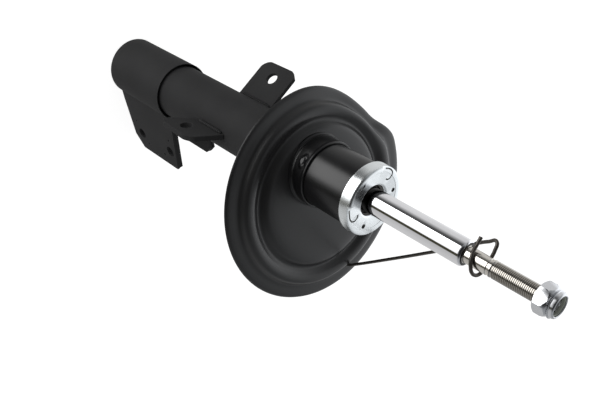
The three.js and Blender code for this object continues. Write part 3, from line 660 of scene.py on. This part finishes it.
def eased_step(x, low, high):
    """Rises smoothly from 0 at low to 1 at high."""
    share = min(1, max(0, (x - low) / (high - low)))
    return share * share * (3 - 2 * share)


def rim_growth(azimuth):
    """How far the rim stands out at a bearing in degrees: it winds in to a waist, then a lobe."""
    if azimuth < -170:
        azimuth += 360
    waist = eased_step(-azimuth, -178, -122) * eased_step(azimuth, 92, 118)
    lobe = eased_step(azimuth, 25, 75) * eased_step(-azimuth, -112, -92)
    return LOBE_OUT * lobe - WAIST_IN * waist


def flange_drop(azimuth):
    """How far the flange steps down at a bearing in degrees, where the coil's end butts."""
    if azimuth < -170:
        azimuth += 360
    return FLANGE_STEP * eased_step(-azimuth, -178, -140) * eased_step(azimuth, 97, 113)


seat_profile = [
    (0, 9.6),
    (20, 9.6),
    (36, 9.6),
    (50, 9.5),
    (56, 9.3),
    (61, 8.9),
    (64, 8.2),
    (66, 6.6),
    (67.6, 4.8),
    (69, 3.9),
    (70.4, 3.6),
    (72, 4.0),
    (74, 5.3),
    (76, 6.6),
    (78, 7.2),
    (80.5, 7.4),
    (83, 7.2),
    (84.6, 6.4),
    (86.2, 4.2),
    (87.6, 1.9),
    (88.8, 0.9),
    (90.5, 0.5),
    (93, 0.4),
    (97, 0.2),
    (99.3, -0.2),
    (100.6, -0.9),
    (SEAT_RADIUS, -2.2),
]
pan = bmesh.new()
verts = [pan.verts.new((r * MM, 0, z * MM)) for r, z in seat_profile]
edges = [pan.edges.new(pair) for pair in zip(verts, verts[1:])]
bmesh.ops.spin(
    pan, geom=verts + edges, axis=(0, 0, 1), cent=(0, 0, 0), angle=2 * pi, steps=180, use_merge=True
)
bmesh.ops.remove_doubles(pan, verts=pan.verts, dist=1e-6)
for vert in pan.verts:
    radius = hypot(vert.co.x, vert.co.y) / MM
    azimuth = degrees(atan2(vert.co.y, vert.co.x))
    grown = 1 + rim_growth(azimuth) * eased_step(radius, DOME_RADIUS, SEAT_RADIUS) / SEAT_RADIUS
    vert.co.x *= grown
    vert.co.y *= grown
    vert.co.z -= flange_drop(azimuth) * eased_step(radius, RING_RADIUS, RING_RADIUS + 6) * MM
bmesh.ops.recalc_face_normals(pan, faces=pan.faces)
seat = mesh_object("spring_seat_skin", pan)
if sum(polygon.normal.z for polygon in seat.data.polygons) < 0:
    seat.data.flip_normals()
wall = seat.modifiers.new("wall", "SOLIDIFY")
wall.thickness = SEAT_SHEET * MM
wall.offset = -1
wall.use_even_offset = True
finished(seat)
seat.data.transform(Matrix.Rotation(radians(-SEAT_TILT), 4, "Y"))
seat.data.transform(Matrix.Translation((SEAT_OFFSET * MM, 0, SEAT_CENTRE_Z * MM)))
cut(seat, cylinder(NECK_BORE, (0, 0, 200), (0, 0, 400), 128))
tilt = Matrix.Rotation(radians(-SEAT_TILT), 3, "Y")
seat_centre = Vector((SEAT_OFFSET, 0, SEAT_CENTRE_Z))
hook_low = seat_centre + tilt @ Vector((*HOOK_HOLE, -20))
hook_high = seat_centre + tilt @ Vector((*HOOK_HOLE, 20))
cut(seat, cylinder(HOOK_HOLE_RADIUS, hook_low, hook_high, 32))
finished(seat, 50)
placed(seat, "housing", "matte_black_paint", [satin_black], "spring_seat")

neck = mesh_object(
    "seat_neck",
    turned(
        [
            (NECK_BORE, NECK_LOW_Z + 0.4),
            (NECK_BORE + 0.4, NECK_LOW_Z),
            (NECK_RADIUS_OUT - 0.4, NECK_LOW_Z),
            (NECK_RADIUS_OUT, NECK_LOW_Z + 0.4),
            (NECK_RADIUS_OUT, NECK_TOP_Z),
            (NECK_BORE, NECK_TOP_Z),
            (NECK_BORE, NECK_LOW_Z + 0.4),
        ]
    ),
)
finished(neck)
placed(neck, "housing", "matte_black_paint", [satin_black])

# ---- Seat collar ----
# A gloss-black steel collar pressed on the tube over the pan. Its foot is a tilted ring, and a
# boss pressed out of its side keys the pan.

COLLAR_RADIUS = 31.1
COLLAR_TOP_Z = 319.2
FOOT_LIFT = 4.6
BOSS_AZIMUTH = -140
BOSS_Z = 312.6
BOSS_HALF_ANGLE = 14
BOSS_HALF_HEIGHT = 4.2
BOSS_OUT = 1.2
BOSS_DIMPLE = 0.7

band = [(COLLAR_RADIUS, z) for z in range(304, 316)]
collar = mesh_object(
    "seat_collar_skin",
    turned(
        [
            (29.6, 299.6),
            (32.6, 299.6),
            (33.0, 300.0),
            (33.0, 301.2),
            (32.6, 301.7),
            (31.9, 301.9),
            (31.4, 302.6),
            *band,
            (COLLAR_RADIUS, 316.2),
            (31.4, 317.0),
            (31.6, 317.7),
            (31.5, 318.5),
            (31.1, 319.0),
            (30.4, COLLAR_TOP_Z),
            (29.8, 319.1),
            (29.6, 318.7),
            (29.6, 299.6),
        ],
        240,
    ),
)
for vert in collar.data.vertices:
    x, y, z = vert.co / MM
    azimuth = degrees(atan2(y, x))
    low = 1 - eased_step(z, 302, 309)
    across = hypot((azimuth - BOSS_AZIMUTH) / BOSS_HALF_ANGLE, (z - BOSS_Z) / BOSS_HALF_HEIGHT)
    raised = BOSS_OUT * (1 - eased_step(across, 0.6, 1))
    raised -= BOSS_DIMPLE * (1 - eased_step(across, 0, 0.55))
    if hypot(x, y) > 30.5:
        vert.co.x *= 1 + raised / COLLAR_RADIUS
        vert.co.y *= 1 + raised / COLLAR_RADIUS
    vert.co.z += (tan(radians(SEAT_TILT)) * x + FOOT_LIFT) * low * MM
finished(collar)
placed(collar, "housing", "gloss_black_paint", [gloss_black], "seat_collar")

# ---- Bump cap ----
# A zinc-plated steel cup pressed over the tube's top, where the bump stop lands. Its face has
# three drain holes and two staked hooks, and its near wall stands up as a rolled lip.


def plating(name, colour, roughness, patch=35, speck=600, metal=1, brushed=None):
    """A plated or machined metal: the colour and shine vary in soft patches, with fine marks."""
    material = bpy.data.materials.new(name)
    material.use_nodes = True
    tree = material.node_tree
    shader = tree.nodes["Principled BSDF"]
    shader.inputs["Metallic"].default_value = metal
    where = tree.nodes.new("ShaderNodeTexCoord")
    cloud = tree.nodes.new("ShaderNodeTexNoise")
    cloud.inputs["Scale"].default_value = patch
    cloud.inputs["Detail"].default_value = 8
    tree.links.new(where.outputs["Object"], cloud.inputs["Vector"])
    tone = tree.nodes.new("ShaderNodeValToRGB")
    tone.color_ramp.elements[0].position = 0.3
    tone.color_ramp.elements[0].color = (*[c * 0.86 for c in colour], 1)
    tone.color_ramp.elements[1].position = 0.7
    tone.color_ramp.elements[1].color = (*colour, 1)
    tree.links.new(cloud.outputs["Fac"], tone.inputs[0])
    tree.links.new(tone.outputs[0], shader.inputs["Base Color"])
    shine = tree.nodes.new("ShaderNodeMapRange")
    shine.inputs["To Min"].default_value = roughness[0]
    shine.inputs["To Max"].default_value = roughness[1]
    tree.links.new(cloud.outputs["Fac"], shine.inputs["Value"])
    tree.links.new(shine.outputs[0], shader.inputs["Roughness"])
    marks = tree.nodes.new("ShaderNodeTexNoise")
    marks.inputs["Scale"].default_value = speck
    marks.inputs["Detail"].default_value = 2
    if brushed:
        stretch = tree.nodes.new("ShaderNodeMapping")
        stretch.inputs["Scale"].default_value = brushed
        tree.links.new(where.outputs["Object"], stretch.inputs["Vector"])
        tree.links.new(stretch.outputs[0], marks.inputs["Vector"])
    else:
        tree.links.new(where.outputs["Object"], marks.inputs["Vector"])
    relief = tree.nodes.new("ShaderNodeBump")
    relief.inputs["Strength"].default_value = 0.06
    relief.inputs["Distance"].default_value = 0.0001
    tree.links.new(marks.outputs["Fac"], relief.inputs["Height"])
    tree.links.new(relief.outputs[0], shader.inputs["Normal"])
    return material


zinc = plating("zinc_plate", (0.80, 0.83, 0.84), (0.2, 0.34), 60)
zinc_shadow = plating("zinc_shadow", (0.10, 0.105, 0.10), (0.35, 0.5), 60)

CAP_FACE_Z = 373.7
LIP_FROM = 153
LIP_TO = 251
DRAIN_REACH = 23.5
DRAIN_BEARINGS = (84, -36, -156)
DRAIN_RADIUS = 2.1
# reach and bearing of each staked hook's slot, from the rim inwards
HOOK_SLOTS = (
    ((29.6, 147), (29.8, 134), (28.4, 124), (25.3, 120.5), (21.8, 123), (20.8, 131)),
    ((29.0, -105), (28.4, -96), (27.6, -82), (25.0, -74), (21.2, -73.5), (18.8, -81)),
)

cap = mesh_object(
    "bump_cap_skin",
    turned(
        [
            (30.0, 364.9),
            (30.4, 364.6),
            (31.6, 364.6),
            (31.9, 364.9),
            (31.9, 366.4),
            (31.6, 367.0),
            (31.6, 372.8),
            (31.5, 374.3),
            (31.1, 375.3),
            (30.4, 376.0),
            (29.4, 376.3),
            (27.2, 376.3),
            (26.6, 376.1),
            (26.4, 375.7),
            (26.4, 374.0),
            (26.2, CAP_FACE_Z),
            (16.2, CAP_FACE_Z),
            (15.0, 373.5),
            (14.2, 372.9),
            (14.0, 372.2),
            (14.3, 371.8),
            (15, 371.9),
            (29.2, 371.9),
            (30.0, 371.2),
            (30.0, 364.9),
        ],
        240,
    ),
)
for vert in cap.data.vertices:
    x, y, z = vert.co / MM
    bearing = degrees(atan2(y, x)) % 360
    lip = eased_step(bearing, LIP_FROM, LIP_FROM + 4) * (1 - eased_step(bearing, LIP_TO - 3, LIP_TO))
    if z > CAP_FACE_Z + 0.1 and hypot(x, y) > 26:
        vert.co.z = (CAP_FACE_Z + (z - CAP_FACE_Z) * (0.12 + 0.88 * lip)) * MM
for bearing in DRAIN_BEARINGS:
    x, y = DRAIN_REACH * cos(radians(bearing)), DRAIN_REACH * sin(radians(bearing))
    cut(cap, cylinder(DRAIN_RADIUS, (x, y, 370), (x, y, 380), 28))
for slot_path in HOOK_SLOTS:
    path = bpy.data.curves.new("slot", "CURVE")
    path.dimensions = "3D"
    path.bevel_depth = 0.75 * MM
    path.bevel_resolution = 3
    path.use_fill_caps = True
    spline = path.splines.new("BEZIER")
    spline.bezier_points.add(len(slot_path) - 1)
    for point, (reach, bearing) in zip(spline.bezier_points, slot_path):
        angle = radians(bearing)
        point.co = Vector((reach * cos(angle), reach * sin(angle), CAP_FACE_Z + 0.1)) * MM
        point.handle_left_type = point.handle_right_type = "AUTO"
    slot = bpy.data.objects.new("slot", path)
    bpy.context.collection.objects.link(slot)
    slot_mesh = bmesh.new()
    slot_mesh.from_mesh(
        bpy.data.meshes.new_from_object(slot.evaluated_get(bpy.context.evaluated_depsgraph_get()))
    )
    bpy.data.objects.remove(slot)
    bmesh.ops.remove_doubles(slot_mesh, verts=slot_mesh.verts, dist=1e-7)
    bmesh.ops.recalc_face_normals(slot_mesh, faces=slot_mesh.faces)
    cut(cap, slot_mesh)
finished(cap, 40)
placed(cap, "housing", "zinc_plate", [zinc, zinc_shadow], "bump_cap")
cap.visible_glossy = False
for polygon in cap.data.polygons:
    x, y, z = polygon.center / MM
    in_slot = 372.7 < z < CAP_FACE_Z - 0.03 and 17.5 < hypot(x, y) < 31
    in_hole = 372 < z < CAP_FACE_Z and abs(polygon.normal.z) < 0.2 and 20 < hypot(x, y) < 27
    if in_slot and polygon.normal.z > -0.1 or in_hole:
        polygon.material_index = 1

# ---- Piston rod ----
# Hard-chromed ground steel, stepped down to a nickel-grey neck with a rolled M14 thread. The
# shoulder's flat face carries a painted dark reflection.

ROD_RADIUS = 11
SHOULDER_Z = 472
NECK_RADIUS = 7
THREAD_Z = 495.7
ROD_TOP_Z = 547
THREAD_PITCH = 1.5
THREAD_ROOT = 6.02
THREAD_CREST = 6.94
THREAD_STEPS = 40

chrome = plating("rod_chrome", (0.90, 0.90, 0.92), (0.05, 0.09), 20, 300)
neck_steel = plating("neck_steel", (0.70, 0.67, 0.62), (0.12, 0.2), 60, 900)
thread_steel = plating("thread_steel", (0.42, 0.40, 0.37), (0.14, 0.24), 90, 900)
# painted dark reflection: near-black metal for the shoulder's flat face
shoulder_dark_reflection = plating("shoulder_dark_reflection", (0.05, 0.048, 0.045), (0.3, 0.45), 90, 900)

rod = mesh_object(
    "piston_rod_skin",
    turned(
        [
            (0, 146),
            (6, 146),
            (6, 180),
            (ROD_RADIUS, 180),
            (ROD_RADIUS, 300),
            (ROD_RADIUS, SHOULDER_Z - 3.0),
            (ROD_RADIUS - 0.25, SHOULDER_Z - 1.9),
            (ROD_RADIUS - 0.8, SHOULDER_Z - 0.9),
            (ROD_RADIUS - 1.6, SHOULDER_Z - 0.25),
            (ROD_RADIUS - 2.4, SHOULDER_Z),
            (NECK_RADIUS + 0.5, SHOULDER_Z),
            (NECK_RADIUS, SHOULDER_Z + 0.5),
            (NECK_RADIUS, THREAD_Z - 3.6),
            (NECK_RADIUS - 0.6, THREAD_Z - 3.0),
            (NECK_RADIUS - 0.6, THREAD_Z - 1.6),
            (NECK_RADIUS, THREAD_Z - 1.0),
            (NECK_RADIUS, THREAD_Z),
            (NECK_RADIUS - 0.8, THREAD_Z + 0.8),
            (NECK_RADIUS - 0.95, THREAD_Z + 1.6),
            (NECK_RADIUS - 0.95, ROD_TOP_Z - 1),
            (NECK_RADIUS - 1.9, ROD_TOP_Z),
            (0, ROD_TOP_Z),
        ],
        96,
    ),
)
finished(rod)
placed(rod, "rod", "rod_chrome", [chrome, shoulder_dark_reflection, neck_steel, thread_steel], "piston_rod")
for polygon in rod.data.polygons:
    z = polygon.center.z / MM
    flat = polygon.normal.z > 0.85
    if z > THREAD_Z:
        polygon.material_index = 3
    elif z > SHOULDER_Z + 0.1:
        polygon.material_index = 2
    # the shoulder's flat face takes the painted dark reflection
    elif z > SHOULDER_Z - 0.2 and flat:
        polygon.material_index = 1

thread = bmesh.new()
teeth = int((ROD_TOP_Z - 1.6 - THREAD_Z - 0.4) / THREAD_PITCH)
outline = []
for tooth in range(teeth):
    z = THREAD_Z + 0.4 + tooth * THREAD_PITCH
    outline += [(THREAD_ROOT, z), (THREAD_ROOT, z + 0.16)]
    outline += [(THREAD_CREST, z + 0.6), (THREAD_CREST, z + 1.0), (THREAD_ROOT, z + 1.44)]
outline.append((THREAD_ROOT, THREAD_Z + 0.4 + teeth * THREAD_PITCH))
verts = [thread.verts.new((r * MM, 0, z * MM)) for r, z in outline]
edges = [thread.edges.new(pair) for pair in zip(verts, verts[1:])]
bmesh.ops.spin(
    thread,
    geom=verts + edges,
    axis=(0, 0, 1),
    cent=(0, 0, 0),
    dvec=(0, 0, THREAD_PITCH * MM / THREAD_STEPS),
    angle=2 * pi,
    steps=THREAD_STEPS,
    use_merge=False,
)
bmesh.ops.remove_doubles(thread, verts=thread.verts, dist=0.00002)
bmesh.ops.holes_fill(thread, edges=[e for e in thread.edges if e.is_boundary], sides=0)
bmesh.ops.triangulate(thread, faces=[f for f in thread.faces if len(f.verts) > 4])
bmesh.ops.recalc_face_normals(thread, faces=thread.faces)
rod_thread = mesh_object("rod_thread", thread)
finished(rod_thread, 25)
placed(rod_thread, "rod", "rod_chrome", [thread_steel])

# ---- Top nut and its insert ----
# A zinc-plated hexagon lock nut. Its collar is rolled in over a nylon ring that grips the thread.

NUT_TOP_Z = 552
NUT_LOW_Z = 535.6
HEX_TOP_Z = 546.2
NUT_FLATS = 22
NUT_TURN = -18

nut_zinc = plating("nut_zinc", (0.66, 0.67, 0.69), (0.14, 0.24), 40)
hexagon = bmesh.new()
bmesh.ops.create_cone(
    hexagon,
    cap_ends=True,
    segments=6,
    radius1=NUT_FLATS / 2 / cos(radians(30)) * MM,
    radius2=NUT_FLATS / 2 / cos(radians(30)) * MM,
    depth=(HEX_TOP_Z - NUT_LOW_Z) * MM,
)
bmesh.ops.translate(hexagon, vec=(0, 0, (HEX_TOP_Z + NUT_LOW_Z) / 2 * MM), verts=hexagon.verts)
bmesh.ops.rotate(
    hexagon, cent=(0, 0, 0), matrix=Matrix.Rotation(radians(NUT_TURN), 3, "Z"), verts=hexagon.verts
)
nut = mesh_object("top_nut_skin", hexagon)
cut(
    nut,
    turned(
        [
            (0, NUT_LOW_Z - 0.01),
            (11.0, NUT_LOW_Z - 0.01),
            (12.4, NUT_LOW_Z + 0.8),
            (12.72, NUT_LOW_Z + 1.6),
            (12.72, HEX_TOP_Z - 4.2),
            (12.2, HEX_TOP_Z - 2.4),
            (11.2, HEX_TOP_Z - 0.8),
            (10.4, HEX_TOP_Z + 0.01),
            (0, HEX_TOP_Z + 0.01),
        ],
        96,
    ),
    "INTERSECT",
)
collar_ring = turned(
    [
        (7.4, HEX_TOP_Z - 1),
        (9.5, HEX_TOP_Z - 1),
        (9.5, HEX_TOP_Z + 0.3),
        (10.0, HEX_TOP_Z + 1.0),
        (11.2, HEX_TOP_Z + 1.6),
        (11.4, HEX_TOP_Z + 1.9),
        (11.2, HEX_TOP_Z + 2.2),
        (10.3, HEX_TOP_Z + 2.5),
        (10.2, NUT_TOP_Z - 1.3),
        (9.7, NUT_TOP_Z - 0.4),
        (8.7, NUT_TOP_Z),
        (8.2, NUT_TOP_Z - 0.25),
        (8.0, NUT_TOP_Z - 0.8),
        (8.0, HEX_TOP_Z + 2),
        (7.4, HEX_TOP_Z - 1),
    ],
    72,
)
cut(nut, collar_ring, "UNION")
cut(nut, cylinder(7.2, (0, 0, 530), (0, 0, 560), 72))
eased(nut, 0.3, 3, 40)
placed(nut, "nut", "zinc_plate", [nut_zinc], "top_nut")

nylon = coating("nylon", (0.20, 0.215, 0.19), (0.27, 0.29, 0.25), (0.4, 0.55), 0.5, 0.2)
insert = mesh_object(
    "nut_insert_skin",
    turned(
        [
            (7.2, 548.4),
            (7.95, 548.4),
            (7.95, 550.6),
            (7.8, 550.8),
            (7.4, 550.8),
            (7.2, 550.6),
            (7.2, 548.4),
        ],
        72,
    ),
)
finished(insert)
placed(insert, "nut_carrier", "nylon", [nylon], "nut_insert")

# ---- Transit wire ----
# Phosphated spring wire that holds the rod in for shipping. It hooks into the pan, runs up beside
# the rod, and is wound once round its neck.

WIRE_RADIUS = 1.5

dark_wire = plating("dark_wire", (0.075, 0.068, 0.060), (0.34, 0.5), 120, 900, 0.85)

route = bpy.data.curves.new("transit_wire_skin", "CURVE")
route.dimensions = "3D"
route.bevel_depth = WIRE_RADIUS * MM
route.bevel_resolution = 4
route.resolution_u = 10
route.use_fill_caps = True
# from the hook's tip under the pan, over its rim and up to the rod, in millimetres
hook = [(105, 12.4, 304), (111.5, 12.3, 306.6), (116.6, 12.2, 311), (117.3, 12.1, 316), (115.6, 12, 321.6)]
hook += [(111.2, 12.4, 328), (79.5, 14.4, 370.4), (45.5, 16.5, 415), (14.9, 18.4, 454.3)]
# reach, bearing in degrees and height on the way round the rod's neck
around_neck = [
    (19.6, 96, 476),
    (20.0, 110, 484),
    (14.0, 98, 485.8),
    (10.0, 75, 485.8),
    (9.3, 45, 485.6),
    (9.5, 12, 485.2),
    (10.9, -12, 484.8),
    (11.2, -36, 484),
    (10.4, -64, 483),
    (9.4, -94, 482),
    (9.1, -122, 480.8),
    (9.1, -146, 479.6),
    (9.5, -172, 478.4),
    (11.5, 168, 477.9),
    (17.5, 153, 477.6),
]
path = [Vector(p) * MM for p in hook]
path += [Vector((r * cos(radians(a)), r * sin(radians(a)), z)) * MM for r, a, z in around_neck]
spline = route.splines.new("BEZIER")
spline.bezier_points.add(len(path) - 1)
for point, place in zip(spline.bezier_points, path):
    point.co = place
    point.handle_left_type = point.handle_right_type = "AUTO"
bent = bpy.data.objects.new("bent_wire", route)
bpy.context.collection.objects.link(bent)
depsgraph = bpy.context.evaluated_depsgraph_get()
wire = bpy.data.objects.new(
    "transit_wire_skin", bpy.data.meshes.new_from_object(bent.evaluated_get(depsgraph))
)
bpy.context.collection.objects.link(wire)
bpy.data.objects.remove(bent)
finished(wire, 50)
wire.data.materials.append(dark_wire)
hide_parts("transit_wire")
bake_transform(wire)

# ---- Pieces inside the tube ----
# The valve works, guide and seal never show. They keep their plain shapes and get the finishes
# that such parts have: ground steel, sintered iron, bronze and rubber. The seal washer, seen down
# the gap round the rod, is painted near black as painted shade in that gap.

bare_steel = plating("bare_steel", (0.5, 0.5, 0.51), (0.25, 0.4), 80)
sintered = plating("sintered_iron", (0.24, 0.24, 0.25), (0.5, 0.65), 200, 900, 0.8)
bronze = plating("bronze", (0.45, 0.28, 0.13), (0.35, 0.5), 90)
rubber = coating("rubber", (0.010, 0.010, 0.010), (0.018, 0.018, 0.018), (0.6, 0.75), 0.4, 0.3)
# painted shade: near-black steel for the seal washer, so the gap round the rod reads dark
gap_shade_steel = plating("gap_shade_steel", (0.05, 0.048, 0.045), (0.3, 0.45), 90)
inner_finish = {
    bare_steel: ("pressure_tube", "compression_shims", "rebound_shims", "piston_nut", "rebound_stop"),
    # the seal washer takes the painted shade of the gap round the rod
    gap_shade_steel: ("seal_washer",),
    sintered: ("base_valve", "rod_guide", "piston"),
    bronze: ("guide_bush", "piston_band"),
    rubber: ("rod_seal", "rebound_bumper"),
}
for material, names in inner_finish.items():
    for name in names:
        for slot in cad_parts[name].material_slots:
            slot.material = material
